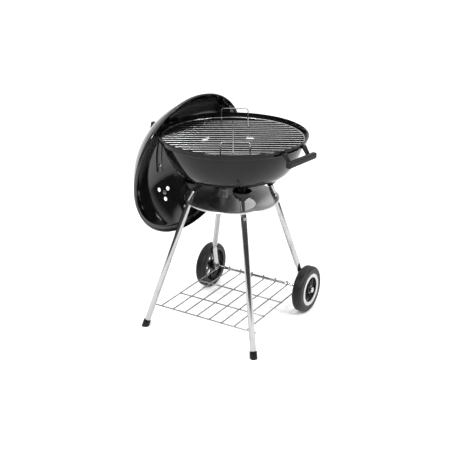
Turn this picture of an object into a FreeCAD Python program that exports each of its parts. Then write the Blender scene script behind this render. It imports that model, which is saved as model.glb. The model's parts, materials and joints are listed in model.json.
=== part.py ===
import FreeCAD, Part
import math
import os
import Sketcher

Vector = FreeCAD.Vector
Rotation = FreeCAD.Rotation
Placement = FreeCAD.Placement
UP = Vector(0, 0, 1)

# Driving dimensions, in millimetres and degrees.
SIZES = {
    # sheet metal and fits
    "steel": 1.2,
    "fit_gap": 0.15,
    "seat_gap": 0.3,
    "run_gap": 0.08,
    "weld": 0.6,
    # bowl: shallow bottom, tight corner, steep wall, ledge, band and rolled bead
    "rim_radius": 225.0,
    "rim_height": 609.5,
    "rim_bead": 3.0,
    "rim_inset": 4.0,
    "rim_band": 17.5,
    "ledge_radius": 211.5,
    "bowl_depth": 150.0,
    "bowl_dish": 430.0,
    "bowl_corner": 80.0,
    "corner_start": 19.0,
    "corner_end": 55.0,
    "press_radius": 3.5,
    # vents
    "vent_count": 3,
    "vent_hole": 11.0,
    "vent_circle": 28.0,
    "damper_radius": 50.0,
    "damper_steel": 1.0,
    "knob_circle": 38.0,
    "knob_azimuth": 262.0,
    "knob_radius": 11.0,
    "knob_length": 26.0,
    "knob_stem": 4.0,
    "knob_drop": 42.0,
    "rivet_radius": 3.0,
    "rivet_head": 7.0,
    "rivet_rise": 2.5,
    # grids
    "grid_radius": 212.0,
    "ring_wire": 2.5,
    "rod_wire": 1.7,
    "rod_pitch": 21.0,
    "rod_count": 17,
    "grid_azimuth": 30.8,
    "grip_width": 83.0,
    "grip_height": 34.5,
    "grip_place": 180.0,
    "grip_foot": 86.0,
    "grip_bend": 7.0,
    "grip_shift": 6.0,
    "grate_radius": 158.0,
    "grate_ring": 3.0,
    "grate_rod": 2.5,
    "grate_pitch": 24.0,
    "grate_count": 12,
    # legs
    "foot_spread": 194.0,
    "leg_splay": 0.249,
    "leg_radius": 9.0,
    "leg_wall": 1.0,
    "upper_wall": 1.2,
    "joint_overlap": 30.0,
    "cup_radius": 28.0,
    "cup_steel": 1.5,
    "cup_lift": 6.5,
    "bracket_neck": 10.5,
    "bracket_plug": 9.0,
    "bolt_radius": 3.0,
    "bolt_head": 7.0,
    "bolt_rise": 4.0,
    "screw_radius": 2.0,
    "screw_head": 4.0,
    "screw_rise": 2.4,
    "screw_drop": 14.0,
    "cap_wall": 2.2,
    "cap_height": 21.0,
    "cap_floor": 8.0,
    # ash catcher
    "dish_radius": 145.0,
    "dish_height": 406.0,
    "dish_depth": 22.0,
    "dish_flat": 72.0,
    "dish_steel": 1.0,
    "dish_bead": 3.0,
    # running gear
    "axle_radius": 5.0,
    "axle_place": 171.0,
    "tang_place": 159.0,
    "tang_steel": 4.0,
    "tang_width": 24.0,
    "tang_end": 16.0,
    "tang_blend": 26.0,
    "washer_radius": 11.0,
    "washer_steel": 1.4,
    "side_gap": 0.25,
    "wheel_radius": 75.0,
    "wheel_width": 34.0,
    "tyre_shoulder": 11.0,
    "barrel_radius": 58.5,
    "barrel_wall": 3.0,
    "web_steel": 5.0,
    "web_place": 13.0,
    "boss_radius": 14.0,
    "spoke_count": 6,
    "spoke_width": 9.0,
    "face_inner": 41.0,
    "face_steel": 2.4,
    "nut_radius": 9.0,
    "nut_width": 8.0,
    # shelf
    "shelf_wire": 2.0,
    "shelf_count": 8,
    "shelf_half": 152.0,
    "shelf_cross": 2,
    "shelf_end": 7.0,
    # side handle
    "handle_azimuth": -8.0,
    "grip_length": 132.0,
    "grip_depth": 16.0,
    "grip_tall": 18.0,
    "grip_edge": 3.5,
    "grip_reach": 15.0,
    "grip_drop": 34.5,
    "arm_spacing": 94.0,
    "arm_width": 15.0,
    "arm_steel": 4.0,
    "tab_top": 6.8,
    # lid
    "lid_clearance": 4.0,
    "lid_bead": 3.0,
    "lid_flare": 5.0,
    "lid_skirt": 13.5,
    "lid_height": 142.0,
    "dome_base": 221.0,
    "lid_handle_spacing": 120.0,
    "lid_handle_length": 144.0,
    "lid_handle_rise": 28.0,
    "foot_length": 20.0,
    "lid_vent_circle": 21.5,
    "lid_vent_turn": 67.0,
    "lid_vent_hole": 7.0,
    "lid_vent_place": 144.0,
    "lid_damper_radius": 35.0,
    "tab_rise": 10.0,
    # the lid hung on the rim
    "hang_azimuth": 169.0,
    "hang_tilt": 10.9,
    "hook_place": 128.5,
    "hook_depth": 75.7,
    "hook_width": 22.0,
    "hook_steel": 2.5,
    "hook_tail": 80.0,
    "hook_lead": 90.0,
    "hook_lip": 10.0,
    "rest_width": 14.0,
    "rest_reach": 11.0,
    "rest_height": 23.0,
    "rest_drop": 7.0,
    "rest_spread": 45.0,
}

document = FreeCAD.newDocument("kettle_grill")
sheet = document.addObject("Spreadsheet::Sheet", "Sizes")
for row, (alias, number) in enumerate(SIZES.items(), 1):
    sheet.set("A%d" % row, alias)
    sheet.set("B%d" % row, str(number))
    sheet.setAlias("B%d" % row, alias)
document.recompute()


class Size:
    """A number from the sheet, together with the expression that binds it."""

    def __init__(self, value, formula):
        self.value = float(value)
        self.formula = formula

    def __add__(self, other):
        other = as_size(other)
        return Size(self.value + other.value, "(%s + %s)" % (self.formula, other.formula))

    def __sub__(self, other):
        other = as_size(other)
        return Size(self.value - other.value, "(%s - %s)" % (self.formula, other.formula))

    def __mul__(self, other):
        other = as_size(other)
        return Size(self.value * other.value, "(%s * %s)" % (self.formula, other.formula))

    def __truediv__(self, other):
        other = as_size(other)
        return Size(self.value / other.value, "(%s / %s)" % (self.formula, other.formula))

    def __radd__(self, other):
        return as_size(other) + self

    def __rsub__(self, other):
        return as_size(other) - self

    def __rmul__(self, other):
        return as_size(other) * self

    def __neg__(self):
        return as_size(0) - self

    def __float__(self):
        return self.value


def as_size(number):
    return number if isinstance(number, Size) else Size(number, "%.9f" % number)


def root(size):
    return Size(math.sqrt(size.value), "sqrt(%s)" % size.formula)


def sine(angle):
    return Size(math.sin(math.radians(angle.value)), "sin(%s)" % angle.formula)


def cosine(angle):
    return Size(math.cos(math.radians(angle.value)), "cos(%s)" % angle.formula)


def leg_of(hypotenuse, side):
    return root(hypotenuse * hypotenuse - side * side)


class Sheet:
    """The sheet's values by name."""

    def __getattr__(self, alias):
        return Size(sheet.get(alias), "Sizes." + alias)


S = Sheet()
parts = []


def keep(item, label, place=None):
    item.Label = label
    if place is not None:
        item.Placement = place
    parts.append(item)
    return item


def bind(item, **sizes):
    for name, size in sizes.items():
        size = as_size(size)
        setattr(item, name, size.value)
        item.setExpression(name, size.formula)
    return item


def cylinder(radius, height, place=None):
    item = bind(document.addObject("Part::Cylinder", "cylinder"), Radius=radius, Height=height)
    if place is not None:
        item.Placement = place
    return item


def at(x=0.0, y=0.0, z=0.0, rotation=None):
    return Placement(Vector(float(x), float(y), float(z)), rotation or Rotation())


def cut(base, *tools):
    item = document.addObject("Part::Cut", "cut")
    item.Base = base
    item.Tool = fuse(*tools)
    return item


def fuse(*shapes):
    if len(shapes) == 1:
        return shapes[0]
    item = document.addObject("Part::MultiFuse", "fuse")
    item.Shapes = list(shapes)
    return item


def group(*shapes):
    item = document.addObject("Part::Compound", "group")
    item.Links = list(shapes)
    return item


def coded(shape, label, place=None):
    item = document.addObject("Part::Feature", label)
    item.Shape = shape
    return keep(item, label, place)


def tube(radius, bore, height, place=None):
    item = cut(cylinder(radius, height), cylinder(bore, height))
    if place is not None:
        item.Placement = place
    return item


def new_body(name):
    return document.addObject("PartDesign::Body", name)


def draw(body, role, start, steps):
    """A closed outline of lines and arcs: each step is (end,) or (end, centre, radius, long)."""
    sketch = body.newObject("Sketcher::SketchObject", body.Name + "_sketch")
    plane = [item for item in body.Origin.OriginFeatures if item.Role == role][0]
    sketch.AttachmentSupport = [(plane, "")]
    sketch.MapMode = "FlatFace"
    corners = [start] + [step[0] for step in steps[:-1]]
    ends = corners[1:] + [start]
    for first, last, step in zip(corners, ends, steps):
        one = Vector(float(first[0]), float(first[1]), 0)
        two = Vector(float(last[0]), float(last[1]), 0)
        if len(step) == 1:
            sketch.addGeometry(Part.LineSegment(one, two))
            continue
        centre = Vector(float(step[1][0]), float(step[1][1]), 0)
        side = ((one + two) * 0.5 - centre).normalize() * float(step[2])
        if len(step) > 3:
            side = side * -1
        sketch.addGeometry(Part.Arc(one, centre + side, two))
    for index in range(len(corners)):
        point = end_of(sketch, index, corners[index])
        following = (index + 1) % len(corners)
        joint = (index, 3 - point, following, end_of(sketch, following, corners[following]))
        sketch.addConstraint(Sketcher.Constraint("Coincident", *joint))
        for kind, size in zip(("DistanceX", "DistanceY"), corners[index]):
            size = as_size(size)
            rule = Sketcher.Constraint(kind, -1, 1, index, point, size.value)
            sketch.setExpression("Constraints[%d]" % sketch.addConstraint(rule), size.formula)
        if len(steps[index]) > 1:
            size = as_size(steps[index][2])
            rule = Sketcher.Constraint("Radius", index, size.value)
            sketch.setExpression("Constraints[%d]" % sketch.addConstraint(rule), size.formula)
    return sketch


def end_of(sketch, index, corner):
    start = sketch.getPoint(index, 1)
    near = abs(start.x - float(corner[0])) + abs(start.y - float(corner[1]))
    return 1 if near < 1e-6 else 2


def revolve(name, start, steps):
    body = new_body(name)
    sketch = draw(body, "XZ_Plane", start, steps)
    turn = body.newObject("PartDesign::Revolution", name + "_turn")
    turn.Profile = sketch
    turn.ReferenceAxis = (sketch, ["V_Axis"])
    turn.Angle = 360
    return body


def pad(name, role, width, start, steps):
    """A pad centred on its sketch plane."""
    body = new_body(name)
    sketch = draw(body, role, start, steps)
    block = body.newObject("PartDesign::Pad", name + "_pad")
    block.Profile = sketch
    block.SideType = "Symmetric"
    bind(block, Length=width)
    return body


def round_rings(body, rings):
    """Rounds the circular edges given as (radius, height, fillet)."""
    document.recompute()
    for ring_radius, height, fillet in rings:
        base = body.Tip
        names = []
        for number, edge in enumerate(base.Shape.Edges, 1):
            if edge.Degenerated or not isinstance(edge.Curve, Part.Circle):
                continue
            level = edge.Curve.Center.z - float(height)
            if abs(edge.Curve.Radius - float(ring_radius)) < 0.01 and abs(level) < 0.01:
                names.append("Edge%d" % number)
        item = body.newObject("PartDesign::Fillet", body.Name + "_fillet")
        item.Base = (base, names)
        bind(item, Radius=fillet)
        document.recompute()
    return body


def bent_wire(points, bend, radius):
    """A round wire along straight runs joined by arcs of one bend radius."""
    edges = []
    last = points[0]
    for before, corner, after in zip(points, points[1:], points[2:]):
        into = (corner - before).normalize()
        out = (after - corner).normalize()
        half = into.getAngle(out) / 2
        trim = bend * math.tan(half)
        enter = corner - into * trim
        leave = corner + out * trim
        middle = corner + (out - into).normalize() * (bend / math.cos(half) - bend)
        edges.append(Part.LineSegment(last, enter).toShape())
        edges.append(Part.Arc(enter, middle, leave).toShape())
        last = leave
    edges.append(Part.LineSegment(last, points[-1]).toShape())
    circle = Part.Circle(points[0], points[1] - points[0], radius)
    return Part.Wire(edges).makePipeShell([Part.Wire([circle.toShape()])], True, False)


# ---- the hanging lid's frame -------------------------------------------------------------

def hang():
    """The hung lid's placement: local z to the crown, local x up, hook on the rim."""
    azimuth = math.radians(S.hang_azimuth.value)
    tilt = math.radians(S.hang_tilt.value)
    outward = Vector(math.cos(azimuth), math.sin(azimuth), 0)
    crown = outward * math.cos(tilt) + UP * math.sin(tilt)
    upward = UP * math.cos(tilt) - outward * math.sin(tilt)
    turn = Rotation(upward, crown.cross(upward), crown, "ZXY")
    bead_top = outward * float(S.rim_radius - S.rim_bead) + UP * float(S.rim_height + S.seat_gap)
    base = bead_top - upward * S.hook_place.value - crown * S.hook_depth.value
    return Placement(base, turn)


def leg_frame(side, end):
    """A leg's own frame: origin on the floor, z up the leg, y level and sideways."""
    along = Vector(-side * S.leg_splay.value, -end * S.leg_splay.value, 1).normalize()
    across = Vector(-end, side, 0).normalize()
    turn = Rotation(across.cross(along), across, along, "ZXY")
    return Placement(Vector(side * S.foot_spread.value, end * S.foot_spread.value, 0), turn)


leg_stretch = root(1 + 2 * S.leg_splay * S.leg_splay)
leg_slope = S.leg_splay * root(as_size(2))
dish_rise = S.dish_depth / (S.dish_radius - 2 * S.dish_bead - S.dish_flat)
dish_floor = S.dish_height - S.dish_depth
joint_height = (dish_floor + (S.foot_spread * root(as_size(2)) - S.dish_flat) * dish_rise) / (
    1 + leg_slope * dish_rise)
bowl_base = S.rim_height - S.bowl_depth
bowl_centre = bowl_base + S.bowl_dish
cup_rim = bowl_base + S.cup_lift
corners = [("front_left", -1, -1), ("front_right", 1, -1), ("rear_left", -1, 1),
           ("rear_right", 1, 1)]
upper_radius = S.leg_radius - S.leg_wall - S.fit_gap


def leg_length(height):
    """Distance up a leg's axis to a height above the floor."""
    return height * leg_stretch


# ---- bowl --------------------------------------------------------------------------------

def on_circle(centre, radius, slope):
    """The point of a circle whose tangent rises at the given slope."""
    return centre[0] + radius * sine(slope), centre[1] - radius * cosine(slope)


def bowl_section():
    """Points and radii of the bowl's half section, from the middle of its bottom."""
    steel = S.steel
    bottom = (as_size(0), S.bowl_dish)
    start = on_circle(bottom, S.bowl_dish, S.corner_start)
    corner = (start[0] - S.bowl_corner * sine(S.corner_start),
              start[1] + S.bowl_corner * cosine(S.corner_start))
    end = on_circle(corner, S.bowl_corner, S.corner_end)
    under = S.bowl_depth - S.rim_band - steel
    reach = S.ledge_radius - end[0]
    climb = under - end[1]
    bow = climb * cosine(S.corner_end) - reach * sine(S.corner_end)
    wall = (reach * reach + climb * climb) / (2 * bow)
    flank = (end[0] - wall * sine(S.corner_end), end[1] + wall * cosine(S.corner_end))
    return bottom, start, corner, end, under, wall, flank


def make_bowl():
    steel = S.steel
    bottom, start, corner, end, under, wall, flank = bowl_section()
    band = S.rim_radius - S.rim_inset
    bead = (S.rim_radius - S.rim_bead, S.bowl_depth - S.rim_bead)
    low = leg_of(S.rim_bead, bead[0] - band)
    high = leg_of(S.rim_bead, bead[0] - band + steel)
    ledge = under + steel
    seat = flank[0] + leg_of(wall - steel, ledge - flank[1])
    shell = revolve("bowl_shell", (as_size(0), as_size(0)), [
        (start, bottom, S.bowl_dish),
        (end, corner, S.bowl_corner),
        ((S.ledge_radius, under), flank, wall),
        ((band, under),),
        ((band, bead[1] - low),),
        ((band - steel, bead[1] + high), bead, S.rim_bead, "long"),
        ((band - steel, ledge),),
        ((seat, ledge),),
        (on_circle(corner, S.bowl_corner - steel, S.corner_end), flank, wall - steel),
        (on_circle(corner, S.bowl_corner - steel, S.corner_start), corner, S.bowl_corner - steel),
        ((as_size(0), steel), bottom, S.bowl_dish - steel),
        (None,)])
    round_rings(shell, [(band, under, S.press_radius), (seat, ledge, S.press_radius)])
    holes = [cylinder(S.rivet_radius + S.fit_gap, 3 * S.steel, at(z=-S.steel))]
    for turn in vent_turns():
        holes.append(cylinder(S.vent_hole, S.bowl_depth / 5, spun(S.vent_circle, turn, -S.steel)))
    for name, side, end_side in corners:
        tool = cylinder(S.bolt_radius + S.fit_gap, 4 * S.bolt_rise)
        tool.Placement = at(z=-bowl_base).multiply(bolt_frame(side, end_side, -8 * S.steel))
        holes.append(tool)
    keep(cut(shell, *holes), "bowl", at(z=bowl_base))


def vent_turns():
    count = int(S.vent_count.value)
    return [360.0 * index / count for index in range(count)]


def spun(radius, azimuth, height):
    angle = math.radians(azimuth)
    return at(float(radius) * math.cos(angle), float(radius) * math.sin(angle), height)


def bolt_frame(side, end, lift):
    """Where a bracket's bolt goes through the bowl: z along the leg, 0 at the wall's outside."""
    frame = leg_frame(side, end)
    start = frame.Base - Vector(0, 0, bowl_centre.value)
    along = frame.Rotation.multVec(UP)
    middle = start.dot(along)
    reach = math.sqrt(middle ** 2 - start.dot(start) + S.bowl_dish.value ** 2)
    return frame.multiply(at(z=-middle - reach + float(lift)))


def make_bowl_damper():
    """A cap of the bowl's own curve under its vents, with a knob, on a rivet."""
    outer = S.bowl_dish + S.seat_gap
    thin = S.damper_steel
    centre = (as_size(0), outer + thin)
    rim = S.damper_radius
    disc = revolve("damper_cap", (as_size(0), as_size(0)), [
        ((rim, centre[1] - leg_of(outer + thin, rim)), centre, outer + thin),
        ((rim, centre[1] - leg_of(outer, rim)),),
        ((as_size(0), thin), centre, outer),
        (None,)])
    holes = [cylinder(S.rivet_radius + S.run_gap, 3 * thin, at(z=-thin))]
    for turn in vent_turns():
        holes.append(cylinder(S.vent_hole, S.knob_length, spun(S.vent_circle, turn, -thin)))
    base = bowl_base - S.seat_gap - thin
    keep(cut(disc, *holes), "bowl_damper", at(z=base))
    lift = centre[1] - leg_of(outer + thin, S.knob_circle - S.knob_stem)
    stem = cylinder(S.knob_stem, S.knob_drop, at(z=-S.knob_drop))
    grip = cylinder(S.knob_radius, S.knob_length, at(z=-S.knob_drop))
    spot = spun(S.knob_circle, S.knob_azimuth.value, base + lift - S.fit_gap)
    keep(fuse(stem, grip), "bowl_damper_knob", spot)
    length = S.steel + S.seat_gap + thin + S.seat_gap + S.fit_gap
    keep(rivet(S.rivet_radius, S.rivet_head, S.rivet_rise, length), "bowl_damper_rivet",
         at(z=base - S.seat_gap))


def rivet(radius, head, rise, grip):
    """A rivet along z with its grip length from 0 up and a head past each end."""
    return fuse(cylinder(radius, grip + 2 * rise, at(z=-rise)),
                cylinder(head, rise, at(z=-rise)), cylinder(head, rise, at(z=grip)))


# ---- grids -------------------------------------------------------------------------------

def make_grid(label, ring_radius, ring_wire, rod_wire, pitch, count, level, place, extra=()):
    """Parallel rods welded across a ring, with their middles at a level above the ring's."""
    ring = document.addObject("Part::Torus", label + "_ring")
    bind(ring, Radius1=ring_radius, Radius2=ring_wire)
    pieces = [ring]
    for index in range(int(count.value)):
        offset = pitch * (index - (count.value - 1) / 2)
        half = leg_of(ring_radius, offset)
        turn = Rotation(Vector(0, 1, 0), 90)
        pieces.append(cylinder(rod_wire, 2 * half, at(-half, offset, level, turn)))
    pieces += extra
    keep(fuse(*pieces), label, place)


def make_cooking_grid():
    height = S.rim_height - S.rim_band + S.seat_gap + S.ring_wire
    place = at(z=height, rotation=Rotation(UP, S.grid_azimuth.value))
    edge = S.rod_pitch * (S.rod_count - 1) / 2
    stay_place = at(0, -edge, 2 * S.rod_wire - S.weld, Rotation(Vector(1, 0, 0), -90))
    stay = cylinder(S.rod_wire, 2 * edge, stay_place)
    make_grid("cooking_grid", S.grid_radius, S.ring_wire, S.rod_wire, S.rod_pitch, S.rod_count,
              as_size(0), place, [stay])
    foot_level = 2 * S.rod_wire + S.fit_gap
    for name, side in (("front", -1), ("rear", 1)):
        half = S.grip_width.value / 2
        inner = side * float(S.grip_place - S.grip_foot)
        outer = side * S.grip_place.value
        low = float(foot_level)
        high = low + S.grip_height.value
        points = [Vector(-half, inner, low), Vector(-half, outer, low), Vector(-half, outer, high),
                  Vector(half, outer, high), Vector(half, outer, low), Vector(half, inner, low)]
        wire = bent_wire(points, S.grip_bend.value, S.rod_wire.value)
        coded(wire, "grid_%s_handle" % name, place.multiply(at(x=S.grip_shift)))


def grate_height():
    """The charcoal grate's ring rests against the curved corner inside the bowl."""
    bottom, start, corner, end, under, wall, flank = bowl_section()
    reach = S.bowl_corner - S.steel - S.grate_ring - S.seat_gap
    return bowl_base + corner[1] - leg_of(reach, S.grate_radius - corner[0])


def make_grate():
    place = at(z=grate_height(), rotation=Rotation(UP, S.grid_azimuth.value))
    make_grid("charcoal_grate", S.grate_radius, S.grate_ring, S.grate_rod, S.grate_pitch,
              S.grate_count, S.grate_ring + S.grate_rod - S.weld, place)


# ---- legs --------------------------------------------------------------------------------

def make_bracket(name, side, end):
    """A pressed cup with a level rim under the bowl, with a boss that holds the top of a leg."""
    frame = leg_frame(side, end)
    across = S.foot_spread - S.leg_splay * cup_rim
    shift = S.leg_splay * S.cup_radius / 2
    centre = Vector(float(side * (across + shift)), float(end * (across + shift)), cup_rim.value)
    shell = Part.makeSphere(S.cup_radius.value, centre)
    shell = shell.cut(Part.makeSphere(float(S.cup_radius - S.cup_steel), centre))
    block = 2 * S.cup_radius.value
    above = Part.makeBox(2 * block, 2 * block, block, centre - Vector(block, block, 0))
    low = leg_length(cup_rim - S.cup_radius - S.cup_steel).value
    high = leg_length(cup_rim + S.cup_radius).value
    boss = Part.makeCylinder(S.bracket_neck.value, high - low, Vector(0, 0, low))
    boss.transformShape(frame.toMatrix())
    bowl = Part.makeSphere(float(S.bowl_dish + S.fit_gap), Vector(0, 0, bowl_centre.value))
    plug = frame.inverse().multVec(bolt_frame(side, end, 0).Base).z - S.bracket_plug.value
    socket = Part.makeCylinder(float(upper_radius + S.fit_gap), plug - low, Vector(0, 0, low))
    bolt = Part.makeCylinder(float(S.bolt_radius + S.fit_gap), high, Vector(0, 0, low))
    hollow = socket.fuse(bolt)
    hollow.transformShape(frame.toMatrix())
    coded(shell.cut(above).fuse(boss).cut(bowl).cut(hollow), name + "_bracket")
    return plug - S.fit_gap.value


def make_bolts():
    bolts = []
    for name, side, end in corners:
        shank = cylinder(S.bolt_radius, S.steel + S.bracket_plug)
        head = cylinder(S.bolt_head, S.bolt_rise, at(z=S.steel + S.bracket_plug))
        both = fuse(shank, head)
        both.Placement = bolt_frame(side, end, S.fit_gap - S.bracket_plug + S.bolt_rise / 4)
        bolts.append(both)
    keep(group(*bolts), "bracket_bolts")


def make_upper_leg(name, side, end, top):
    start = leg_length(joint_height - S.joint_overlap)
    item = tube(upper_radius, upper_radius - S.upper_wall, top - start.value,
                leg_frame(side, end).multiply(at(z=start)))
    keep(item, name + "_upper_leg")


def leg_top():
    """Where a lower leg ends, under the ash catcher's flank and its rolled edge."""
    flank = joint_height - S.seat_gap - S.dish_steel
    bead = S.dish_height - S.dish_bead - S.seat_gap - S.leg_radius * leg_slope / leg_stretch
    return leg_length(min(flank, bead, key=float))


def make_front_leg(name, side, end):
    start = S.cap_floor
    item = tube(S.leg_radius, S.leg_radius - S.leg_wall, leg_top() - start,
                leg_frame(side, end).multiply(at(z=start)))
    keep(item, name + "_leg")
    outer = S.leg_radius + S.fit_gap + S.cap_wall
    block = cylinder(outer, S.cap_height + S.cap_floor, at(z=-S.cap_floor))
    bore = cylinder(S.leg_radius + S.fit_gap, S.cap_height, at(z=S.cap_floor))
    cup = cut(block, bore)
    cup.Placement = leg_frame(side, end)
    ground = document.addObject("Part::Box", name + "_ground")
    bind(ground, Length=6 * outer, Width=6 * outer, Height=2 * outer)
    ground.Placement = at(side * S.foot_spread - 3 * outer, end * S.foot_spread - 3 * outer, -2 * outer)
    keep(cut(cup, ground), name + "_foot")


def make_rear_leg(name, side, end):
    """A tube whose lower end is pressed flat and bent upright, with the axle through it."""
    blend = (S.foot_spread - S.tang_place) / S.leg_splay
    frame = leg_frame(side, end)
    low = leg_length(blend + S.tang_blend).value
    top = leg_top().value
    barrel = Part.makeCylinder(S.leg_radius.value, top - low, Vector(0, 0, low))
    barrel.transformShape(frame.toMatrix())
    bore_start = Vector(0, 0, low + S.tang_steel.value)
    bore = Part.makeCylinder(float(S.leg_radius - S.leg_wall), top - low, bore_start)
    bore.transformShape(frame.toMatrix())
    knee = Vector(side * S.tang_place.value, end * S.tang_place.value, blend.value)
    axle = Vector(knee.x, end * S.axle_place.value, S.wheel_radius.value)
    down = (axle - knee).normalize()
    half = S.tang_width.value / 2
    round_end = Part.Circle(frame.multVec(Vector(0, 0, low)), frame.Rotation.multVec(UP),
                            S.leg_radius.value)
    flat = Part.Ellipse(knee + Vector(1, 0, 0).cross(down) * half,
                        knee + Vector(S.tang_steel.value / 2, 0, 0), knee)
    squeeze = Part.makeLoft([Part.Wire([round_end.toShape()]), Part.Wire([flat.toShape()])], True)
    turn = Rotation(Vector(1, 0, 0).cross(down), Vector(1, 0, 0), down * -1, "ZYX")
    length = (axle - knee).Length + S.tang_end.value
    plate = Part.makeBox(2 * half, S.tang_steel.value, length - half)
    plate.translate(Vector(-half, -S.tang_steel.value / 2, half - length))
    tip = Part.makeCylinder(half, S.tang_steel.value, Vector(0, -S.tang_steel.value / 2, half - length),
                            Vector(0, 1, 0))
    tang = plate.fuse(tip)
    tang.transformShape(Placement(knee, turn).toMatrix())
    hole = Part.makeCylinder(float(S.axle_radius + S.fit_gap), 2 * S.leg_radius.value,
                             axle - Vector(S.leg_radius.value, 0, 0), Vector(1, 0, 0))
    shape = barrel.fuse([squeeze, tang]).removeSplitter().cut(bore).cut(hole)
    coded(shape, name + "_leg")


def make_leg_screws():
    screws = []
    for name, side, end in corners:
        depth = S.leg_radius - upper_radius + S.upper_wall
        shank = cylinder(S.screw_radius, depth + S.screw_rise)
        head = cylinder(S.screw_head, S.screw_rise, at(z=depth + S.fit_gap))
        level = leg_top() - S.screw_drop
        face = at(x=S.leg_radius - depth, z=level, rotation=Rotation(Vector(0, 1, 0), 90))
        both = fuse(shank, head)
        both.Placement = leg_frame(side, end).multiply(face)
        screws.append(both)
    keep(group(*screws), "leg_screws")


def drill_leg_joints():
    """The screws' holes through each lower and upper leg."""
    for name, side, end in corners:
        level = leg_top() - S.screw_drop
        for label in (name + "_leg", name + "_upper_leg"):
            item = [part for part in parts if part.Label == label][0]
            parts.remove(item)
            item.Label = label + "_undrilled"
            tool = cylinder(S.screw_radius + S.fit_gap, 2 * S.leg_radius)
            tool.Placement = leg_frame(side, end).multiply(
                at(x=S.fit_gap, z=level, rotation=Rotation(Vector(0, 1, 0), 90)))
            keep(cut(item, tool), label)


# ---- ash catcher -------------------------------------------------------------------------

def make_ash_catcher():
    steel = S.dish_steel
    bead = (S.dish_radius - S.dish_bead, S.dish_depth)
    lip = S.dish_radius - 2 * S.dish_bead
    across = leg_of(S.dish_bead, steel)
    zero = as_size(0)
    dish = revolve("dish_shell", (zero, zero), [
        ((S.dish_flat, zero),),
        ((lip, S.dish_depth),),
        ((bead[0] - across, bead[1] + steel), bead, S.dish_bead, "long"),
        ((lip - steel, S.dish_depth + steel),),
        ((S.dish_flat - steel / 4, steel),),
        ((zero, steel),),
        (None,)])
    holes = []
    for name, side, end in corners:
        tool = cylinder(upper_radius + S.fit_gap, 2 * S.joint_overlap)
        tool.Placement = at(z=-dish_floor).multiply(leg_frame(side, end)).multiply(
            at(z=leg_length(joint_height) - S.joint_overlap))
        holes.append(tool)
    keep(cut(dish, *holes), "ash_catcher", at(z=dish_floor))


# ---- wheels and axle ---------------------------------------------------------------------

def wheel_inner():
    """Distance from the middle of the grill to a wheel's inner face."""
    return S.tang_place + S.tang_steel / 2 + S.washer_steel + 2 * S.side_gap


def wheel_frame(side, offset):
    """On the axle, z pointing away from the grill."""
    turn = Rotation(Vector(0, 1, 0), 90 * side)
    return at(side * offset, S.axle_place, S.wheel_radius, turn)


def make_tyre(name, frame):
    width = S.wheel_width
    shoulder = S.tyre_shoulder
    outer = S.wheel_radius
    inner = S.barrel_radius + S.fit_gap
    zero = as_size(0)
    tyre = revolve(name + "_tyre_ring", (inner, zero), [
        ((outer - shoulder, zero),),
        ((outer, shoulder), (outer - shoulder, shoulder), shoulder),
        ((outer, width - shoulder),),
        ((outer - shoulder, width), (outer - shoulder, width - shoulder), shoulder),
        ((inner, width),),
        (None,)])
    keep(tyre, name + "_tyre", frame)


def make_hub(name, frame):
    """A barrel and a centre boss joined by a web with wedge-shaped windows."""
    zero = as_size(0)
    width = S.wheel_width - S.face_steel - S.fit_gap
    bore = S.axle_radius + S.run_gap
    boss = S.boss_radius
    near = S.web_place
    far = S.web_place + S.web_steel
    inside = S.barrel_radius - S.barrel_wall
    hub = revolve(name + "_hub_blank", (bore, zero), [
        ((boss, zero),),
        ((boss, near),),
        ((inside, near),),
        ((inside, zero),),
        ((S.barrel_radius, zero),),
        ((S.barrel_radius, width),),
        ((inside, width),),
        ((inside, far),),
        ((boss, far),),
        ((boss, width),),
        ((bore, width),),
        (None,)])
    document.recompute()
    count = int(S.spoke_count.value)
    ring = tube(inside - S.barrel_wall, boss + S.barrel_wall, 2 * S.web_steel, at(z=near - S.web_steel / 2))
    spokes = []
    for index in range(count):
        bar = document.addObject("Part::Box", name + "_spoke")
        bind(bar, Length=inside, Width=S.spoke_width, Height=4 * S.web_steel)
        turn = Rotation(UP, 360.0 * index / count)
        bar.Placement = Placement(Vector(), turn).multiply(
            at(0, -S.spoke_width / 2, near - S.web_steel))
        spokes.append(bar)
    keep(cut(hub, cut(ring, *spokes)), name + "_hub", frame)


def make_wheel(name, side):
    inner = wheel_inner()
    frame = wheel_frame(side, inner)
    make_tyre(name, frame)
    make_hub(name, frame)
    plate_place = wheel_frame(side, inner + S.wheel_width - S.face_steel)
    keep(tube(S.barrel_radius, S.face_inner, S.face_steel, plate_place), name + "_trim_ring")
    washer = wheel_frame(side, S.tang_place + S.tang_steel / 2 + S.side_gap)
    bore = S.axle_radius + S.fit_gap
    keep(tube(S.washer_radius, bore, S.washer_steel, washer), name + "_washer")
    width = S.wheel_width - S.face_steel - S.fit_gap
    nut = cylinder(S.nut_radius, S.nut_width)
    hollow = cylinder(bore, S.nut_width - S.steel)
    keep(cut(nut, hollow), name + "_axle_cap", wheel_frame(side, inner + width + S.side_gap))


def make_axle():
    width = S.wheel_width - S.face_steel - S.fit_gap
    half = wheel_inner() + width + S.side_gap + S.nut_width - S.steel - S.fit_gap
    turn = Rotation(Vector(0, 1, 0), 90)
    keep(cylinder(S.axle_radius, 2 * half), "axle", at(-half, S.axle_place, S.wheel_radius, turn))


# ---- shelf -------------------------------------------------------------------------------

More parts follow.
